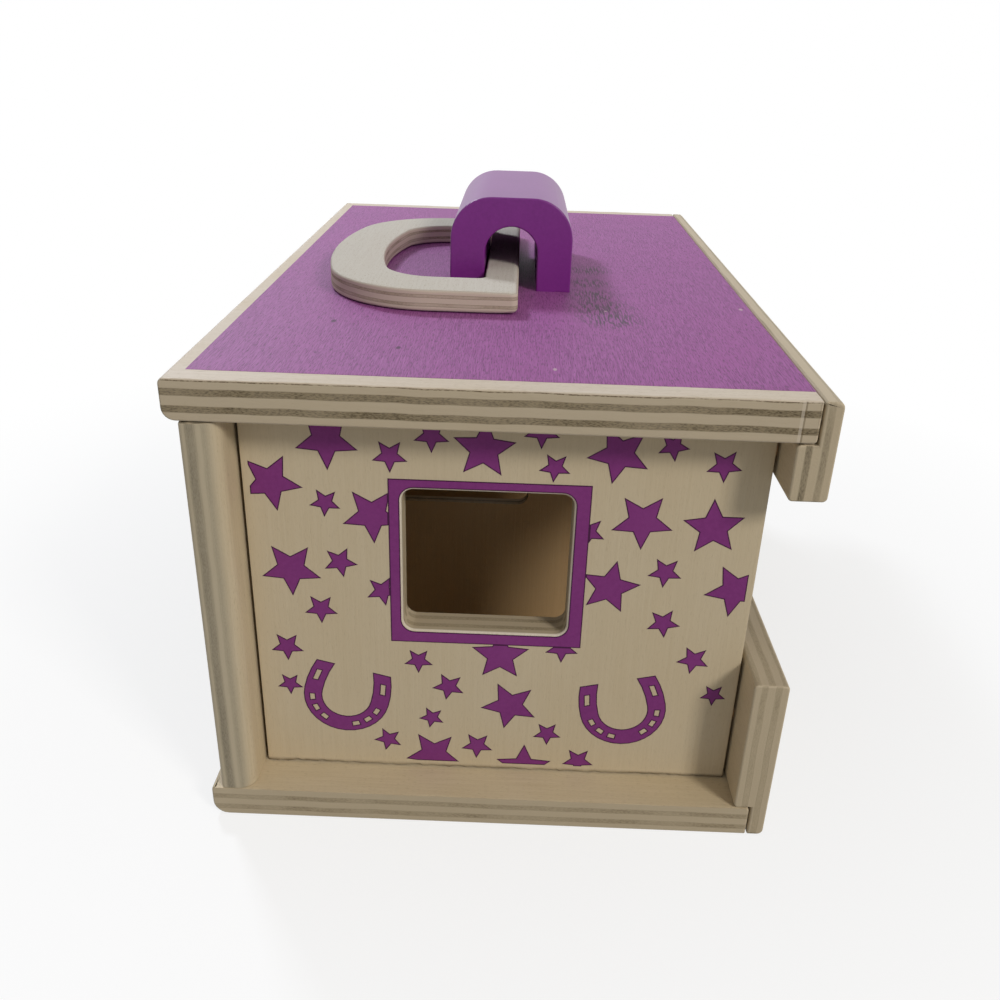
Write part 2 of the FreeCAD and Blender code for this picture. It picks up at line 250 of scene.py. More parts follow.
def plywood(name, plyAxis, low, high, plies, grainAxis, endAxis, **changes):
    # Birch plywood, rotary cut and sanded: pale silky faces with short pores along the grain.
    # On the edges, smooth plies alternate with dark open end grain that catches dirt.
    look = {**birch, **changes}
    material, tree, shader = newMaterial(name)
    place = addNode(tree, "TexCoord", {})
    spot = addNode(tree, "SeparateXYZ", {0: place.outputs["Object"]})
    facing = addNode(tree, "SeparateXYZ", {0: place.outputs["Normal"]})
    noise = addPatterns(tree, place, {
        "streaks": (0.6, 20, grainAxis, 4), "pores": (0.17, 1.5, grainAxis, 1),
        "patches": (24, 60, grainAxis, 2), "waver": (12, 12, plyAxis, 1),
        "fibres": (0.75, 0.2, plyAxis, 4), "fading": (16, 16, plyAxis, 2)})

    share = addNode(tree, "MapRange", {0: noise["streaks"], 1: 0.3, 2: 0.7, 4: look["streakShare"]})
    colour = addNode(tree, "Mix", {0: share, 6: hexColour(look["pale"]), 7: hexColour(look["streak"])},
                     data_type="RGBA")
    share = addNode(tree, "MapRange", {0: noise["patches"], 1: 0.4, 2: 0.7, 4: look["patchShare"]})
    colour = addNode(tree, "Mix", {0: share, 6: colour, 7: hexColour(look["warm"])}, data_type="RGBA")
    pores = addNode(tree, "MapRange", {0: noise["pores"], 1: 0.6, 2: 0.72, 4: look["poreShare"]})
    colour = addNode(tree, "Mix", {0: pores, 6: colour, 7: hexColour(look["pore"])}, data_type="RGBA")
    flat = addNode(tree, "Math", {0: facing.outputs[plyAxis]}, operation="ABSOLUTE")
    onEdge = addNode(tree, "MapRange", {0: flat, 1: 0.85, 2: 0.35})
    share = addNode(tree, "Math", {0: onEdge, 1: 0.8}, operation="MULTIPLY")
    colour = addNode(tree, "Mix", {0: share, 6: colour, 7: hexColour(look["edgePale"])}, data_type="RGBA")

    # plies counted through the board, a little wavy
    waver = addNode(tree, "MapRange", {0: noise["waver"], 3: -look["waverPlies"], 4: look["waverPlies"]})
    depth = addNode(tree, "MapRange", {0: spot.outputs[plyAxis], 1: low, 2: high, 4: plies})
    depth = addNode(tree, "Math", {0: depth, 1: waver}, operation="ADD")
    wave = addNode(tree, "Math", {0: depth, 1: math.pi}, operation="MULTIPLY")
    wave = addNode(tree, "Math", {0: wave}, operation="SINE")
    turned = addNode(tree, "Math", {0: facing.outputs[endAxis]}, operation="ABSOLUTE")
    turned = addNode(tree, "MapRange", {0: turned, 1: 0.4, 2: 0.7, 3: 1, 4: -1})
    wave = addNode(tree, "Math", {0: wave, 1: turned}, operation="MULTIPLY")
    ends = addNode(tree, "MapRange", {0: wave, 1: look["narrow"] - look["soft"],
                                      2: look["narrow"] + look["soft"]})
    ends = addNode(tree, "Math", {0: ends, 1: onEdge}, operation="MULTIPLY")
    fade = addNode(tree, "MapRange", {0: noise["fading"], 1: 0.35, 2: 0.62,
                                      3: look["contrast"] * look["faded"], 4: look["contrast"]})
    ends = addNode(tree, "Math", {0: ends, 1: fade}, operation="MULTIPLY")
    inward = addNode(tree, "MapRange", {0: depth, 2: plies, 3: look["inner"], 4: 1})
    ends = addNode(tree, "Math", {0: ends, 1: inward}, operation="MULTIPLY")
    share = addNode(tree, "MapRange", {0: noise["fibres"], 1: 0.36, 2: 0.6})
    fibre = addNode(tree, "Mix", {0: share, 6: hexColour(look["endDark"]), 7: hexColour(look["endPale"])},
                    data_type="RGBA")
    share = addNode(tree, "MapRange", {0: noise["fibres"], 1: 0.42, 2: 0.32, 4: look["fleckShare"]})
    fibre = addNode(tree, "Mix", {0: share, 6: fibre, 7: hexColour(look["fleck"])}, data_type="RGBA")
    colour = addNode(tree, "Mix", {0: ends, 6: colour, 7: fibre}, data_type="RGBA")
    seam = addNode(tree, "Math", {0: wave, 1: look["narrow"], 2: look["seamHalf"]}, operation="COMPARE")
    seam = addNode(tree, "Math", {0: seam, 1: onEdge}, operation="MULTIPLY")
    share = addNode(tree, "MapRange", {0: noise["fading"], 1: 0.65, 2: 0.4, 4: look["seamShare"]})
    seam = addNode(tree, "Math", {0: seam, 1: share}, operation="MULTIPLY")
    seam = addNode(tree, "Math", {0: seam, 1: inward}, operation="MULTIPLY")
    colour = addNode(tree, "Mix", {0: seam, 6: colour, 7: hexColour(look["glueAndShade"])}, data_type="RGBA")
    if "faceLine" in look:
        # a thin, broken dark line along the edge just under the top face
        line = addNode(tree, "Math", {0: depth, 1: plies - look["faceLine"], 2: look["faceLineHalf"]},
                       operation="COMPARE")
        line = addNode(tree, "Math", {0: line, 1: onEdge}, operation="MULTIPLY")
        share = addNode(tree, "MapRange", {0: noise["fibres"], 1: 0.62, 2: 0.45, 3: 0.3, 4: 0.9})
        line = addNode(tree, "Math", {0: line, 1: share}, operation="MULTIPLY")
        colour = addNode(tree, "Mix", {0: line, 6: colour, 7: hexColour(look["glueAndShade"])}, data_type="RGBA")
    if "sawMark" in look:
        # a stroke of the saw across the end
        for offset, half, tone in look["sawStrokes"]:
            line = addNode(tree, "Math", {0: spot.outputs[1], 1: (look["sawMark"] - offset) * mm, 2: half * mm},
                           operation="COMPARE")
            line = addNode(tree, "Math", {0: line, 1: turned}, operation="MULTIPLY")
            # turned is negative on the ends, and the clamp drops the other faces
            share = addNode(tree, "Math", {0: line, 1: -look["sawShare"]}, operation="MULTIPLY",
                            use_clamp=True)
            colour = addNode(tree, "Mix", {0: share, 6: colour, 7: hexColour(look[tone])}, data_type="RGBA")
    if "stainAt" in look:
        # painted shade along the joint at the foot, darkest at the base and patchy
        footShadeTop = look["stainAt"] + look["footShadeHeight"] * mm
        share = addNode(tree, "MapRange", {0: spot.outputs[2], 1: footShadeTop, 2: look["stainAt"],
                                           4: look["footShadeShare"]}, interpolation_type="SMOOTHERSTEP")
        patch = addNode(tree, "MapRange", {0: noise["fading"], 1: 0.38, 2: 0.6, 3: 1, 4: 0.45})
        share = addNode(tree, "Math", {0: share, 1: patch}, operation="MULTIPLY")
        colour = addNode(tree, "Mix", {0: share, 6: colour, 7: hexColour(look["glueAndShade"])}, data_type="RGBA")

    tree.links.new(colour.outputs[2], shader.inputs["Base Color"])
    shader.inputs["Specular IOR Level"].default_value = look["gloss"]
    rough = addNode(tree, "MapRange", {0: ends, 3: look["roughness"], 4: look["endRoughness"]})
    tree.links.new(rough.outputs[0], shader.inputs["Roughness"])
    height = addNode(tree, "Math", {0: noise["streaks"], 1: pores}, operation="SUBTRACT")
    height = addNode(tree, "Math", {0: noise["fibres"], 1: ends, 2: height}, operation="MULTIPLY_ADD")
    bump = addNode(tree, "Bump", {"Height": height, "Distance": look["relief"] * mm, "Strength": 0.6})
    tree.links.new(bump.outputs[0], shader.inputs["Normal"])
    return material


def satinPaint(name, look):
    # Satin acrylic paint or ink: an even colour, with the grain or the roller's texture in the gloss.
    material, tree, shader = newMaterial(name)
    place = addNode(tree, "TexCoord", {})
    noise = addPatterns(tree, place, {"texture": (look["across"], look["along"], 0, 4),
                                      "pores": (0.2, 2.6, 0, 1), "clouds": (22, 30, 0, 3)})
    share = addNode(tree, "MapRange", {0: noise["texture"], 1: 0.3, 2: 0.7})
    colour = addNode(tree, "Mix", {0: share, 6: hexColour(look["colour"]), 7: hexColour(look["deep"])},
                     data_type="RGBA")
    share = addNode(tree, "MapRange", {0: noise["clouds"], 1: 0.4, 2: 0.7, 4: 0.6})
    colour = addNode(tree, "Mix", {0: share, 6: colour, 7: hexColour(look["worn"])}, data_type="RGBA")
    pores = addNode(tree, "MapRange", {0: noise["pores"], 1: 0.54, 2: 0.66, 4: look["pores"]})
    colour = addNode(tree, "Mix", {0: pores, 6: colour, 7: hexColour(look["dark"])}, data_type="RGBA")
    if "scuffsAndShadow" in look:
        # dark strokes beside the arch: partly rubbed paint, partly a painted shadow of the arch
        strokes = addPatterns(tree, place, {"strokes": (0.5, 5, 0, 3)})["strokes"]
        strokes = addNode(tree, "MapRange", {0: strokes, 1: 0.46, 2: 0.58, 4: 0.95})
        for x, y, radius in look["scuffsAndShadow"]:
            away = addNode(tree, "VectorMath", {0: place.outputs["Object"], 1: (x * mm, y * mm, look["level"])},
                           operation="DISTANCE")
            rubbedAndShaded = addNode(tree, "MapRange", {0: away.outputs["Value"], 1: radius * mm, 2: radius * mm / 3})
            share = addNode(tree, "Math", {0: strokes, 1: rubbedAndShaded}, operation="MULTIPLY")
            colour = addNode(tree, "Mix", {0: share, 6: colour, 7: hexColour(look["scuffAndShadow"])}, data_type="RGBA")
        stretch = look["markStretch"]
        for kind, marks in (("dark", look["specks"]), ("chip", look["chips"])):
            for x, y, radius in marks:
                spread = addNode(tree, "Mapping", {"Vector": place.outputs["Object"],
                                                   "Scale": (1 / stretch, 1, 1)})
                away = addNode(tree, "VectorMath", {0: spread, 1: (x * mm / stretch, y * mm, look["level"])},
                               operation="DISTANCE")
                share = addNode(tree, "MapRange", {0: away.outputs["Value"], 1: radius * mm,
                                                   2: radius * mm / 2})
                colour = addNode(tree, "Mix", {0: share, 6: colour, 7: hexColour(look[kind])},
                                 data_type="RGBA")
    tree.links.new(colour.outputs[2], shader.inputs["Base Color"])
    shader.inputs["Roughness"].default_value = look["roughness"]
    shader.inputs["Specular IOR Level"].default_value = look["gloss"]
    height = addNode(tree, "Math", {0: noise["texture"], 1: pores}, operation="SUBTRACT")
    bump = addNode(tree, "Bump", {"Height": height, "Distance": look["relief"] * mm, "Strength": 0.5})
    tree.links.new(bump.outputs[0], shader.inputs["Normal"])
    return material


ink = {"pores": 0.15, "across": 1.2, "along": 1.2, "roughness": 0.5, "gloss": 0.2, "relief": 0.01}
inkFinish = satinPaint("screenInk", {
    **ink, "colour": "#85387F", "deep": "#7E3378", "worn": "#8A3F84", "dark": "#5A1F55"})
inkEdgeFinish = satinPaint("screenInkEdge", {
    **ink, "colour": "#4A1744", "deep": "#3F123A", "worn": "#501B4A", "dark": "#35102F"})
blockFinish = satinPaint("satinPaintOnBlock", {
    "colour": "#7D2786", "deep": "#75227E", "worn": "#822D8B", "dark": "#551560", "pores": 0.1, "across": 0.9,
    "along": 0.9, "roughness": 0.34, "gloss": 0.38, "relief": 0.012})
roofFinish = satinPaint("satinPaintOnBirch", {
    "colour": "#A55E9F", "deep": "#7C3A76", "worn": "#9A5092", "dark": "#4A1846", "pores": 0.6, "across": 0.3,
    "along": 7, "roughness": 0.6, "gloss": 0.46, "relief": 0.06, "scuffAndShadow": "#3C283B", "level": 0.1245,
    # the strokes beside the arch's right side are partly a painted shadow of the arch
    "scuffsAndShadow": ((-48, -27, 13), (-61, -29, 12), (-34, -25, 10), (-18, -25, 9), (0, -26, 9)),
    "specks": ((-71.7, 45.2, 0.9), (-93.6, 25.5, 0.8)), "markStretch": 2,
    "chips": ((-44.7, -67.5, 0.7), (-106.3, -12.3, 0.6), (-52, -28, 0.5)), "chip": "#B79CA8"})
print("paints ready")


# Long boards
edges = {"arris": 1.0, "endEase": 0.6, "baseEase": 1.8, "seam": 0.9, "roofBack": 3.0, "roofArris": 1.5,
         "baseBack": 4.0, "lipThick": 4.3, "lipTip": 1.6, "lipFar": 1.2, "joint": 0.4, "stepGap": 0.3,
         "backOuter": 1.2, "backInner": 4.5, "backEnd": 0.4, "backGap": 0.4, "waver": 0.09,
         "lengthParts": 24, "depthParts": 40}


def easeBoard(board, corners, low, high, topEase=0):
    # rounds along the board, then its sawn ends
    for y, z, radius in corners:
        roundEdges(board, radius * mm, 6, onPlanes((1, y), (2, z)))
    for x in (low.x, high.x):
        if topEase:
            roundEdges(board, topEase * mm, 6, onPlanes((0, x), (2, high.z)), sharpOnly=True)
        roundEdges(board, edges["endEase"] * mm, 3, onPlanes((0, x)), sharpOnly=True)
    splitEvenly(board, 0, low.x, high.x, edges["lengthParts"])


def flatBoard(name, node, rounds, topEase=0):
    low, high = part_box(node)
    board = blockBetween(name, low, high)
    corners = [(low.y, low.z, rounds[0]), (high.y, low.z, rounds[1]),
               (high.y, high.z, rounds[2]), (low.y, high.z, rounds[3])]
    easeBoard(board, corners, low, high, topEase)
    splitEvenly(board, 1, low.y, high.y, edges["depthParts"])
    ends = edges["arris"] * mm
    for seed, x in enumerate((low.x, high.x)):
        arrisBox = inside((x - ends, None, high.z - ends), (x + ends, None, None))
        roughen(board, edges["waver"] * mm, seed, arrisBox)
    return board


def lippedBoard(name, node, seamZ, lipUp):
    # a board whose lip covers the edge of the roof or the base
    low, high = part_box(node)
    bodyLow, bodyHigh = low.copy(), high.copy()
    if lipUp:
        bodyHigh.z = seamZ
        reach = high.z - seamZ
    else:
        bodyLow.z = seamZ
        reach = low.z - seamZ
    board = blockBetween(name, bodyLow, bodyHigh)
    lipBack = low.y + edges["lipThick"] * mm
    cutThrough(board, 1, lipBack)
    choose(board, "FACE", inside((None, None, seamZ), (None, lipBack, seamZ)))
    extrudeBy(0, 0, reach)
    # the step stands a hair clear of the board that it meets
    gap = edges["stepGap"] * mm * (-1 if lipUp else 1)
    choose(board, "VERT", inside((None, lipBack, seamZ), (None, None, seamZ)))
    bpy.ops.transform.translate(value=(0, 0, gap))
    seamZ += gap
    arris = edges["arris"]
    tipZ, farZ = (high.z, low.z) if lipUp else (low.z, high.z)
    corners = [(low.y, tipZ, edges["lipTip"]), (low.y, farZ, edges["lipFar"]), (lipBack, tipZ, edges["joint"]),
               (high.y, farZ, arris), (high.y, seamZ, arris)]
    easeBoard(board, corners, low, high)
    return board


roofLow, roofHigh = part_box("roof_board")
baseLow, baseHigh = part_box("base_board")
# rounds at the front below, back below, back above and front above
baseRounds = (edges["joint"], edges["baseBack"], edges["arris"], edges["arris"])
roofRounds = (edges["seam"], edges["roofBack"], edges["roofArris"], edges["joint"])
baseBoard = flatBoard("baseBoard", "base_board", baseRounds, edges["baseEase"])
roofBoard = flatBoard("roofBoard", "roof_board", roofRounds)
header = lippedBoard("frontHeader", "front_header", roofLow.z, True)
halfWall = lippedBoard("frontHalfWall", "front_half_wall", baseHigh.z, False)

backLow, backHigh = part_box("back_wall")
backHigh.z -= edges["backGap"] * mm
backWall = blockBetween("backWall", backLow, backHigh)
for x in (backLow.x, backHigh.x):
    roundEdges(backWall, edges["backInner"] * mm, 8, onPlanes((0, x), (1, backLow.y)))
    roundEdges(backWall, edges["backOuter"] * mm, 4, onPlanes((0, x), (1, backHigh.y)))
    for z in (backLow.z, backHigh.z):
        roundEdges(backWall, edges["backEnd"] * mm, 2, onPlanes((2, z)), True,
                   lambda centre: centre.x * x > 0)

# five plies through each board
basePly = plywood("birchPlywoodBase", 2, baseLow.z, baseHigh.z, 5, 1, 0, contrast=0.6, soft=0.3,
                  fleckShare=0.6)
# the roof's paler, greyer face tone is partly painted sheen, standing in for the whitish grazing reflection on
# its bare margin
roofPly = plywood("birchPlywoodRoof", 2, roofLow.z, roofHigh.z, 5, 1, 0, contrast=0.9, fleckShare=1.0,
                  pale="#D8CBBA", streak="#CBBCA6", endDark="#554934", endPale="#8A7C60", faceLine=0.2,
                  faded=0.75, sawMark=-66)
frontLow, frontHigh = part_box("front_half_wall")
headerPly = plywood("birchPlywoodHeader", 1, frontLow.y, frontHigh.y, 5, 0, 0, contrast=1.0, soft=0.3,
                    inner=0.3, endDark="#554A36", endPale="#8A7E66")
frontPly = plywood("birchPlywoodFront", 1, frontLow.y, frontHigh.y, 5, 0, 0, contrast=0.4, soft=0.4,
                   fleckShare=0.4)
# the back wall's end is darker and greyer toward its outer face: partly its end grain, partly painted shade
# where the outer arris turns away from the lamps
backPly = plywood("birchPlywoodBack", 1, backLow.y, backHigh.y, 5, 2, 0, contrast=0.8, soft=0.7, narrow=-0.25,
                  fleckShare=0.4, inner=0.1, endDark="#4E493C", endPale="#7C7566", edgePale="#BDB199",
                  faded=0.8)
finishPiece(baseBoard, "stable", "plywood", basePly, "base_board")
finishPiece(roofBoard, "stable", "painted_plywood", roofPly, "roof_board")
finishPiece(header, "stable", "plywood", headerPly, "front_header")
finishPiece(halfWall, "stable", "plywood", frontPly, "front_half_wall")
finishPiece(backWall, "stable", "plywood", backPly, "back_wall")
print("long boards ready")

# Roof paint: a thin coat that leaves a bare margin at the back and both ends
roofCoat = {"thick": 0.06, "endMargin": 6.5, "backMargin": 4.4, "drop": 1.6}
clearSelection()
coatLow = Vector((roofLow.x + roofCoat["endMargin"] * mm, roofLow.y, roofHigh.z))
coatHigh = Vector((roofHigh.x - roofCoat["endMargin"] * mm, roofHigh.y - roofCoat["backMargin"] * mm,
                   roofHigh.z))
bpy.ops.mesh.primitive_plane_add(size=1, location=(coatLow + coatHigh) / 2)
coat = bpy.context.object
coat.name = "roofPaint"
coat.scale = (coatHigh.x - coatLow.x, coatHigh.y - coatLow.y, 1)
applyPlace(coat)
choose(coat, "EDGE", onPlanes((1, coatLow.y)))
extrudeBy(0, 0, -roofCoat["drop"] * mm)
roundEdges(coat, edges["joint"] * mm, 6, onPlanes((1, coatLow.y), (2, coatLow.z)))
openPiece(coat)
bpy.ops.mesh.select_all(action="SELECT")
bpy.ops.mesh.normals_make_consistent(inside=False)
pickPiece(coat)
skin = coat.modifiers.new("coatThickness", "SOLIDIFY")
skin.thickness = roofCoat["thick"] * mm
skin.offset = 1
bpy.ops.object.modifier_apply(modifier=skin.name)
finishPiece(coat, "stable", "painted_plywood", roofFinish)
print("roof paint ready")


# End walls with their windows and print
def windowedPanel(name, low, high, openLow, openHigh, radius, steps):
    panel = blockBetween(name, low, high)
    for axis in (1, 2):
        cutThrough(panel, axis, openLow[axis])
        cutThrough(panel, axis, openHigh[axis])
    opening = inside((None, openLow[1], openLow[2]), (None, openHigh[1], openHigh[2]))
    choose(panel, "FACE", opening)
    bpy.ops.mesh.delete(type="FACE")
    choose(panel, "EDGE", opening)
    bpy.ops.mesh.bridge_edge_loops()
    for y in (openLow[1], openHigh[1]):
        for z in (openLow[2], openHigh[2]):
            roundEdges(panel, radius, steps, onPlanes((1, y), (2, z)))
    return panel


window = {"width": 42.1, "height": 40.2, "round": 3.0, "sill": 54.1, "back": 23.35, "rimEase": 0.6,
          "sideEase": 0.4, "joint": 0.2, "footParts": 90, "foot": 0.4, "footBand": 1.2, "footRough": 0.36}
openLow = Vector((0, window["back"] - window["width"], window["sill"])) * mm
openHigh = Vector((0, window["back"], window["sill"] + window["height"])) * mm

for side in ("left", "right"):
    node = side + "_end_wall"
    low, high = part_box(node)
    joint = Vector((0, window["joint"], 0)) * mm
    low, high = low + joint, high - joint
    panel = windowedPanel(side + "EndWall", low, high, openLow, openHigh, window["round"] * mm, 8)
    reveal = inside((None, openLow.y, openLow.z), (None, openHigh.y, openHigh.z))
    for x in (low.x, high.x):
        onFace = onPlanes((0, x))
        roundEdges(panel, window["rimEase"] * mm, 3, lambda corner: onFace(corner) and reveal(corner),
                   sharpOnly=True)
        for y in (low.y, high.y):
            roundEdges(panel, window["sideEase"] * mm, 2, onPlanes((0, x), (1, y)))
    # the raw rim left where the window was cut through the print
    outer = low.x if side == "left" else high.x
    ease = window["rimEase"] * mm
    # the end walls get a painted shade along their foot, where they meet the base
    ply = plywood("birchPlywood" + side.capitalize() + "End", 0, low.x, high.x, 5, 2, 2, contrast=0.6,
                  soft=0.3, streakShare=0.3, patchShare=0.2, poreShare=0.2, stainAt=low.z)
    rimPly = plywood("birchRim" + side.capitalize(), 0, low.x, high.x, 5, 2, 2, contrast=0,
                     edgePale="#E4DACA", pale="#E4DACA", streak="#D2C4AC")
    panel.data.materials.append(ply)
    panel.data.materials.append(rimPly)
    choose(panel, "FACE", inside((outer - ease, openLow.y - ease, openLow.z - ease),
                                 (outer + ease, openHigh.y + ease, openHigh.z + ease)))
    panel.active_material_index = 1
    bpy.ops.object.material_slot_assign()
    # the lower edge was sawn roughly and leaves a ragged dark joint on the base
    splitEvenly(panel, 1, low.y, high.y, window["footParts"])
    cutThrough(panel, 2, low.z + window["footBand"] * mm)
    choose(panel, "VERT", onPlanes((0, outer), (2, low.z)))
    bpy.ops.transform.translate(value=(0, 0, window["foot"] * mm))
    bpy.ops.transform.vertex_random(offset=window["footRough"] * mm, seed=len(side))
    finishPiece(panel, "stable", "printed_plywood", ply, node)
print("end walls ready")

# Printed stars, (y, z, radius, turn) on the panel
bigStar, smallStar, slimStar, tinyStar = 7.9, 4.5, 4.0, 3.6
stars = [
    (41, 106.5, bigStar, 36), (55, 95, bigStar, -27), (3.5, 105.5, bigStar, -3),
    (-28.5, 105.5, bigStar, 27), (-35.5, 88, bigStar, 38), (-53, 87, bigStar, 5),
    (30.5, 87, bigStar, 38), (51.5, 71, bigStar, 36), (-29, 69, bigStar, -10),
    (-60.5, 69.5, bigStar, 30), (-2, 47, bigStar, 0), (-5, 31, bigStar, 26),
    (15.5, 13.5, bigStar, 33), (-9.5, 10, bigStar, 0),
    (42, 90, slimStar, 31), (26, 103, smallStar, 36), (16, 108.5, smallStar, 36),
    (-10, 110.5, smallStar, 36), (-13.5, 101.5, slimStar, 32), (-41, 108, slimStar, 46),
    (-53.5, 103.5, smallStar, 40), (-22.5, 84.5, smallStar, 30), (39, 73.5, smallStar, 46),
    (28.5, 65.5, smallStar, 46), (44.5, 59.5, smallStar, 36), (-42.5, 74, smallStar, 33),
    (-43.5, 59, smallStar, 44), (54, 47.5, smallStar, 36), (54, 35.5, tinyStar, 36),
    (19.5, 44.5, slimStar, 36), (11.5, 36.5, smallStar, 27), (-18, 50, smallStar, 36),
    (16, 26, tinyStar, 26), (28, 18, slimStar, 24), (3.5, 17, smallStar, 34),
    (-15.5, 22, slimStar, 37), (-24.5, 13, smallStar, 36), (-52.5, 48, smallStar, 29),
    (-59, 37, tinyStar, 36),
]
printed = {"thick": 0.05, "frameThick": 0.08, "innerShare": 0.46, "edge": 2.0, "low": 2.0, "high": 1.0,
           "frameOut": (4.05, 3.25, 3.7, 2.75),    # front, back, below and above the opening
           "frameRim": 0.5, "outline": 0.28, "proud": 0.02}
wallLow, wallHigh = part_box("left_end_wall")
outFront, outBack, outLow, outHigh = (width * mm for width in printed["frameOut"])
frameLow = Vector((wallLow.x - printed["frameThick"] * mm, openLow.y - outFront, openLow.z - outLow))
frameHigh = Vector((wallLow.x, openHigh.y + outBack, openHigh.z + outHigh))
frameSides = {"back": (1, frameHigh.y, "clear_inner"), "front": (1, frameLow.y, "clear_outer"),
              "below": (2, frameLow.z, "clear_outer"), "above": (2, frameHigh.z, "clear_inner")}

clearSelection()
bpy.ops.mesh.primitive_circle_add(vertices=10, radius=1 * mm, fill_type="NGON")
starShape = bpy.context.object
point = 360 / 5
choose(starShape, "VERT",
       lambda corner: abs(math.degrees(math.atan2(corner.x, corner.y)) % point - point / 2) < 1)
bpy.ops.transform.resize(value=(printed["innerShare"], printed["innerShare"], 1), center_override=(0, 0, 0))
bpy.ops.mesh.select_all(action="SELECT")
extrudeBy(0, 0, printed["thick"] * mm)
clearSelection()

# the print faces -X: drawn right is -Y and drawn up is +Z
facePrint = Matrix(((0, 0, -1, wallLow.x), (-1, 0, 0, 0), (0, 1, 0, 0), (0, 0, 0, 1)))
starPieces = []
for index, (y, z, radius, turn) in enumerate(stars):
    star = ownCopy(starShape, "star" + str(index))
    spin = Matrix.Rotation(math.radians(turn), 4, "Z")
    size = Matrix.Diagonal((radius, radius, 1, 1))
    star.matrix_world = facePrint @ Matrix.Translation((-y * mm, z * mm, 0)) @ spin @ size
    applyPlace(star)
    # a star that reaches under the window's frame ends at the frame
    apart = {"back": y * mm - frameHigh.y, "front": frameLow.y - y * mm,
             "below": frameLow.z - z * mm, "above": z * mm - frameHigh.z}
    side = max(apart, key=apart.get)
    if apart[side] < radius * mm:
        axis, level, dropped = frameSides[side]
        cutThrough(star, axis, level, use_fill=True, **{dropped: True})
        clearSelection()
    starPieces.append(star)
leftStars = joinPieces(starPieces, "leftEndStars")
cutThrough(leftStars, 1, wallLow.y + printed["edge"] * mm, clear_inner=True, use_fill=True)
cutThrough(leftStars, 1, wallHigh.y - printed["edge"] * mm, clear_outer=True, use_fill=True)
cutThrough(leftStars, 2, wallLow.z + printed["low"] * mm, clear_inner=True, use_fill=True)
cutThrough(leftStars, 2, wallHigh.z - printed["high"] * mm, clear_outer=True, use_fill=True)
clearSelection()
bpy.data.objects.remove(starShape)

# Window frame: a dark outline with the lighter ink on it
across = Vector((0, 1, 1)) * mm
plates = []
for finish, inset, proud in ((inkEdgeFinish, 0, 0), (inkFinish, printed["outline"], printed["proud"])):
    rim = across * (printed["frameRim"] + inset)
    corner = (window["round"] + printed["frameRim"] + inset) * mm
    plate = windowedPanel("framePlate", frameLow + across * inset - Vector((proud, 0, 0)) * mm,
                          frameHigh - across * inset, openLow - rim, openHigh + rim, corner, 8)
    clearSelection()
    plate.data.materials.append(finish)
    plates.append(plate)
leftFrame = joinPieces(plates, "leftWindowFrame")

# Horseshoes: a ring's lower half and two branches, with a row of nail holes
shoe = {"radii": (11.6, 9.9, 8.7, 6.6), "segments": 32, "branch": 3.2, "lean": (0.1, 0.5, 0.9),
        "holes": (101.25, 123.75, 146.25), "slack": 0.5,    # where the holes start, and degrees or mm to spare
        "places": ((39, 32, -14), (-35.5, 31, 13))}
clearSelection()
bpy.ops.mesh.primitive_circle_add(vertices=shoe["segments"], radius=shoe["radii"][0] * mm)
shoeShape = bpy.context.object
openPiece(shoeShape)
bpy.ops.mesh.select_all(action="SELECT")
for outer, inner in zip(shoe["radii"], shoe["radii"][1:]):
    bpy.ops.mesh.extrude_region()
    bpy.ops.transform.resize(value=(inner / outer, inner / outer, 1), center_override=(0, 0, 0))


def fromTop(corner):
    return abs(math.degrees(math.atan2(corner.x, corner.y)))


choose(shoeShape, "FACE", lambda corner: corner.y > -touching)
bpy.ops.mesh.delete(type="FACE")
for side in (-1, 1):
    choose(shoeShape, "EDGE", lambda corner: abs(corner.y) < touching and corner.x * side > 0)
    for lean in shoe["lean"]:
        extrudeBy(-side * lean * mm, shoe["branch"] * mm, 0)
holeHigh, holeLow = shoe["radii"][1] * mm + touching, shoe["radii"][2] * mm - touching
step = 360 / shoe["segments"]
slack = shoe["slack"]
for start in shoe["holes"]:
    choose(shoeShape, "FACE", lambda corner: start - slack < fromTop(corner) < start + step + slack
           and holeLow < corner.length < holeHigh)
    bpy.ops.mesh.delete(type="FACE")
branch = shoe["branch"] * mm
choose(shoeShape, "FACE", lambda corner: branch - touching < corner.y < 2 * branch + touching,
       middle=lambda centre: holeLow - slack * mm < abs(centre.x) < holeHigh)
bpy.ops.mesh.delete(type="FACE")
bpy.ops.mesh.select_all(action="SELECT")
extrudeBy(0, 0, printed["thick"] * mm)
clearSelection()
shoePieces = []
for index, (y, z, turn) in enumerate(shoe["places"]):
    piece = ownCopy(shoeShape, "shoe" + str(index))
    spin = Matrix.Rotation(math.radians(turn), 4, "Z")
    piece.matrix_world = facePrint @ Matrix.Translation((-y * mm, z * mm, 0)) @ spin
    shoePieces.append(piece)
leftShoes = joinPieces(shoePieces, "leftEndHorseshoes")
bpy.data.objects.remove(shoeShape)

# ink lies thicker and darker along the edges of the print
for piece in (leftStars, leftShoes):
    piece.data.materials.append(inkEdgeFinish)
    piece.data.materials.append(inkFinish)
    choose(piece, "FACE", onPlanes((0, wallLow.x - printed["thick"] * mm)))
    bpy.ops.mesh.inset(thickness=printed["outline"] * mm, depth=0)
    piece.active_material_index = 1
    bpy.ops.object.material_slot_assign()
    clearSelection()

# the far end carries the same print, mirrored
for piece in (leftStars, leftShoes, leftFrame):
    other = ownCopy(piece, piece.name.replace("left", "right"))
    other.scale = (-1, 1, 1)
    applyPlace(other)
    finishPiece(other, "stable", "printed_plywood", inkFinish)
    finishPiece(piece, "stable", "printed_plywood", inkFinish)
print("print ready:", len(stars), "stars an end")

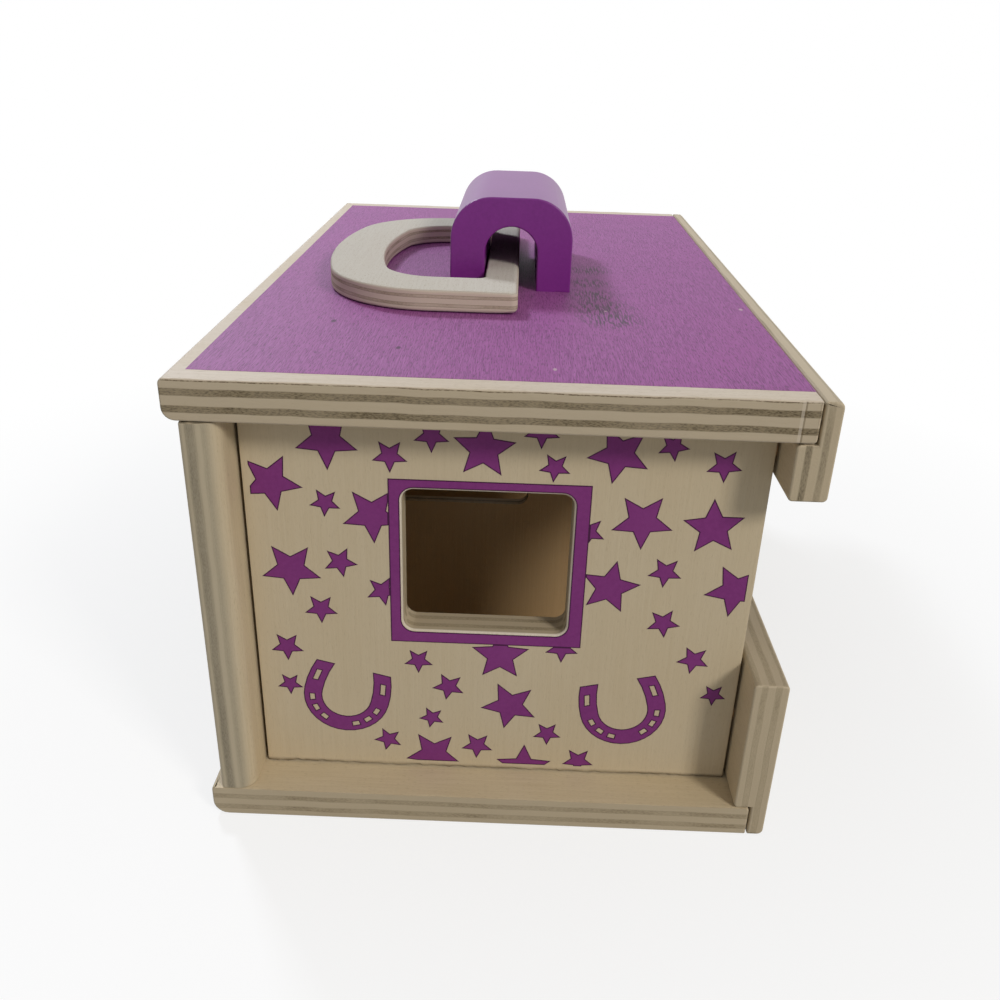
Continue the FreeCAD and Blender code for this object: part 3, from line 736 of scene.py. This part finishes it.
# Arch block
archSizes = {"tunnel": 15.62, "crown": 8.3, "round": 12.0, "ease": 0.5, "wornWidth": 4.5, "worn": 0.45,
             "roundSteps": 14}
archLow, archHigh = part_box("handle_arch")
middleY = (archLow.y + archHigh.y) / 2
tunnelLow = middleY - archSizes["tunnel"] * mm / 2
tunnelHigh = middleY + archSizes["tunnel"] * mm / 2
tunnelTop = archHigh.z - archSizes["crown"] * mm
arch = blockBetween("handleArch", archLow, archHigh)
cutThrough(arch, 1, tunnelLow)
cutThrough(arch, 1, tunnelHigh)
cutThrough(arch, 2, tunnelTop)
tunnel = inside((None, tunnelLow, None), (None, tunnelHigh, tunnelTop))
choose(arch, "FACE", tunnel)
bpy.ops.mesh.delete(type="FACE")
for x in (archLow.x, archHigh.x):
    choose(arch, "EDGE", lambda corner: tunnel(corner) and abs(corner.x - x) < touching,
           added=x > archLow.x)
bpy.ops.mesh.bridge_edge_loops()
bpy.ops.mesh.select_all(action="SELECT")
bpy.ops.mesh.dissolve_limited(angle_limit=math.radians(1))
full = archSizes["tunnel"] * mm / 2 - 4 * touching
steps = archSizes["roundSteps"]
roundEdges(arch, full, steps, lambda corner: tunnel(corner) and abs(corner.z - tunnelTop) < touching,
           middle=lambda centre: abs(centre.x) < archHigh.x / 2 and abs(centre.y - middleY) > full)
roundEdges(arch, archSizes["round"] * mm, steps, onPlanes((2, archHigh.z)),
           middle=lambda centre: abs(centre.x) < archHigh.x / 2)
for x in (archLow.x, archHigh.x):
    roundEdges(arch, archSizes["ease"] * mm, 4, onPlanes((0, x)), True,
               lambda centre: centre.z > archLow.z + touching)
# one corner of the foot is worn round
wornY = archLow.y + archSizes["wornWidth"] * mm
cutThrough(arch, 1, wornY)
footCorner = inside((None, archLow.y, archLow.z), (archLow.x, wornY, archLow.z))
roundEdges(arch, archSizes["worn"] * mm, 2, footCorner)
finishPiece(arch, "stable", "painted_block", blockFinish, "handle_arch")
print("arch ready")

# Carry handle: the band's section runs up one side, round the grip and down the other
handleSizes = {"band": 16.5, "bar": 9.7, "shoulder": 32.0, "crown": 140.0, "corner": 2.0, "holeCorner": 2.5,
               "roll": 2.2, "ease": 1.0, "ply": 1.2, "bendSteps": 20, "crownSteps": 14}
gripLow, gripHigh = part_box("carry_handle")
centreX = (gripLow.x + gripHigh.x) / 2
halfSpan = (gripHigh.x - gripLow.x) / 2
shoulder, crown = handleSizes["shoulder"] * mm, handleSizes["crown"] * mm
crownY = gripHigh.y - crown
bendX = halfSpan - shoulder
bendY = crownY + math.sqrt((crown - shoulder) ** 2 - bendX ** 2)
bendAngle = math.atan2(bendY - crownY, bendX)
band = handleSizes["band"] * mm
bar = handleSizes["bar"] * mm
clearSelection()
sectionAt = (centreX + halfSpan - band / 2, gripLow.y, (gripLow.z + gripHigh.z) / 2)
bpy.ops.mesh.primitive_plane_add(size=1, location=sectionAt, rotation=(math.radians(90), 0, 0))
handle = bpy.context.object
handle.name = "carryHandle"
handle.scale = (band, gripHigh.z - gripLow.z, 1)
applyPlace(handle)
openPiece(handle)
bpy.ops.mesh.select_mode(type="FACE")
bpy.ops.mesh.select_all(action="SELECT")
extrudeBy(0, bar, 0)
extrudeBy(0, bendY - gripLow.y - bar, 0)
bendSteps, crownSteps = handleSizes["bendSteps"], handleSizes["crownSteps"]
for x, y, angle, steps in ((centreX + bendX, bendY, bendAngle, bendSteps),
                           (centreX, crownY, math.pi - 2 * bendAngle, crownSteps),
                           (centreX - bendX, bendY, bendAngle, bendSteps)):
    bpy.ops.mesh.spin(steps=steps, angle=-angle, center=(x, y, gripLow.z), axis=(0, 0, 1))
extrudeBy(0, bar + gripLow.y - bendY, 0)
extrudeBy(0, -bar, 0)
innerX = halfSpan - band
choose(handle, "FACE", lambda corner: abs(abs(corner.x - centreX) - innerX) < touching
       and corner.y < gripLow.y + bar + touching)
bpy.ops.mesh.bridge_edge_loops()
bpy.ops.mesh.select_all(action="SELECT")
bpy.ops.mesh.remove_doubles(threshold=touching)
bpy.ops.mesh.normals_make_consistent(inside=False)
for x in (-halfSpan, halfSpan):
    roundEdges(handle, handleSizes["corner"] * mm, 6, onPlanes((0, centreX + x), (1, gripLow.y)))
for x in (-innerX, innerX):
    roundEdges(handle, handleSizes["holeCorner"] * mm, 6, onPlanes((0, centreX + x), (1, gripLow.y + bar)))
faces = (gripLow.z, gripHigh.z)
choose(handle, "EDGE", lambda corner: min(abs(corner.z - z) for z in faces) < touching, True)
bpy.ops.transform.edge_bevelweight(value=handleSizes["ease"] / handleSizes["roll"])
choose(handle, "EDGE", lambda corner: corner.y < gripLow.y + handleSizes["corner"] * mm + touching, True)
bpy.ops.transform.edge_bevelweight(value=1)
bpy.ops.object.mode_set(mode="OBJECT")
soft = handle.modifiers.new("softEdges", "BEVEL")
soft.limit_method = "WEIGHT"
soft.width = handleSizes["roll"] * mm
soft.segments = 4
bpy.ops.object.modifier_apply(modifier=soft.name)
beyond = handleSizes["ply"] * mm    # a ply above and below, so that the dark ones lie second and fourth
# the handle's pale grey-white tone is partly painted sheen, standing in for the whitish reflection on its top,
# as its gloss is off
handlePly = plywood("birchPlywoodHandle", 2, gripLow.z - beyond, gripHigh.z + beyond, 7, 0, 2,
                    pale="#D6D1C6", streak="#CBC4B8", warm="#D1C9BB", edgePale="#CDBFAA", contrast=0.75,
                    narrow=0.45, seamShare=0.5, gloss=0, faded=0.3)
finishPiece(handle, "handle", "plywood", handlePly, "carry_handle")
print("handle ready")


# CAD pieces that stay: dividers, dowels and screws
def dressNode(node, material):
    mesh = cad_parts[node].data
    mesh.materials.clear()
    mesh.materials.append(material)


for side in ("left", "right"):
    node = side + "_stall_divider"
    low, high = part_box(node)
    ply = plywood("birchPlywood" + side.capitalize() + "Divider", 0, low.x, high.x, 3, 2, 2, streakShare=0.3,
                  pale="#C3A57C", streak="#B8986E", warm="#BB9668")
    dressNode(node, ply)

# Zinc-plated steel screws and turned beech dowels, out of sight in their holes
fastenings = {
    "zincSteel": {"colour": "#B4B7BA", "metal": 1, "roughness": 0.35, "nodes": ("arch_screws",)},
    "turnedBeech": {"colour": "#C69C6D", "metal": 0, "roughness": 0.6,
                    "nodes": ("back_wall_dowels", "end_wall_dowels", "header_dowels", "half_wall_dowels")},
}
for name, look in fastenings.items():
    material, tree, shader = newMaterial(name)
    shader.inputs["Base Color"].default_value = hexColour(look["colour"])
    shader.inputs["Metallic"].default_value = look["metal"]
    shader.inputs["Roughness"].default_value = look["roughness"]
    for node in look["nodes"]:
        dressNode(node, material)
print("dividers and fastenings ready")

# Camera at the photograph's place
camera = {"place": (-320.62, -2.83, 193.85), "heading": 0.603, "down": 25.731, "roll": 1.859,
          "lens": 34.731, "sensor": 36, "nearest": 0.01}
bpy.ops.object.camera_add()
view = bpy.context.object
view.name = "photoCamera"
view.data.sensor_width = camera["sensor"]
view.data.lens = camera["lens"]
view.data.clip_start = camera["nearest"]
view.matrix_world = (Matrix.Translation(Vector(camera["place"]) * mm)
                     @ Matrix.Rotation(math.radians(camera["heading"] - 90), 4, "Z")
                     @ Matrix.Rotation(math.radians(90 - camera["down"]), 4, "X")
                     @ Matrix.Rotation(math.radians(camera["roll"]), 4, "Z"))
scene = bpy.context.scene
scene.camera = view
scene.view_settings.view_transform = "Standard"


# Floor, world and lamps
def seenRays(tree):
    # 1 for the rays that show the background itself, 0 for those that light the object
    rays = addNode(tree, "LightPath", {})
    seen = addNode(tree, "Math", {0: rays.outputs["Is Camera Ray"], 1: rays.outputs["Is Glossy Ray"]},
                   operation="MAXIMUM")
    return addNode(tree, "Math", {0: seen, 1: rays.outputs["Is Transmission Ray"]}, operation="MAXIMUM")


studio = {"floorSize": 12.0, "floor": "#A9A9A7", "paperShade": 0.95, "shadowShare": 0.3, "shadowFrom": 0.1,
          "shadowReach": 0.32, "sky": "#FFFFFF", "skyLevel": 0.32, "farLevel": 0.08, "farAt": 0.7,
          "aim": (0, 0, 0.07)}
white = (1, 1, 1, 1)
clearSelection()
bpy.ops.mesh.primitive_plane_add(size=studio["floorSize"])
floor = bpy.context.object
floor.name = "paleFloor"
floorMaterial, tree, shader = newMaterial("palePaper")
shader.inputs["Base Color"].default_value = hexColour(studio["floor"])
shader.inputs["Roughness"].default_value = 1
shader.inputs["Specular IOR Level"].default_value = 0
# as seen, the paper takes the object's shadow near it and is plain white farther out
glow = addNode(tree, "Emission", {"Color": white, "Strength": 1})
place = addNode(tree, "TexCoord", {})
away = addNode(tree, "VectorMath", {0: place.outputs["Object"]}, operation="LENGTH")
share = addNode(tree, "MapRange", {0: away.outputs["Value"], 1: studio["shadowFrom"], 2: studio["shadowReach"],
                                   3: 1 - studio["shadowShare"], 4: 1})
paper = addNode(tree, "BsdfDiffuse", {"Color": (*[studio["paperShade"]] * 3, 1)})
lit = addNode(tree, "MixShader", {0: share, 1: paper, 2: glow})
blend = addNode(tree, "MixShader", {0: seenRays(tree), 1: shader, 2: lit})
tree.links.new(blend.outputs[0], tree.nodes["Material Output"].inputs["Surface"])
floor.data.materials.append(floorMaterial)

world = bpy.data.worlds.new("studioWorld")
scene.world = world
world.use_nodes = True
tree = world.node_tree
sky = tree.nodes["Background"]
sky.inputs["Color"].default_value = hexColour(studio["sky"])
# the room is darker beyond the object
place = addNode(tree, "TexCoord", {})
around = addNode(tree, "SeparateXYZ", {0: place.outputs["Generated"]})
level = addNode(tree, "MapRange", {0: around.outputs["X"], 1: 0, 2: studio["farAt"], 3: studio["skyLevel"],
                                   4: studio["farLevel"]})
tree.links.new(level.outputs[0], sky.inputs["Strength"])
backdrop = addNode(tree, "Background", {"Color": white, "Strength": 1})
blend = addNode(tree, "MixShader", {0: seenRays(tree), 1: sky, 2: backdrop})
tree.links.new(blend.outputs[0], tree.nodes["World Output"].inputs["Surface"])

lamps = {
    "backLeft": {"place": (0.68, 0.54, 0.94), "size": 0.18, "power": 8.0, "colour": "#EEF4FF"},
    "cameraRight": {"place": (-1.6, -1.38, 1.48), "size": 0.5, "power": 28.5, "colour": "#FFFAF2"},
}
for name, lamp in lamps.items():
    bpy.ops.object.light_add(type="AREA", location=lamp["place"])
    light = bpy.context.object
    light.name = name
    light.data.size = lamp["size"]
    light.data.energy = lamp["power"]
    light.data.color = hexColour(lamp["colour"])[:3]
    aim = Vector(studio["aim"]) - Vector(lamp["place"])
    light.rotation_euler = aim.to_track_quat("-Z", "Y").to_euler()
print("camera and light ready")
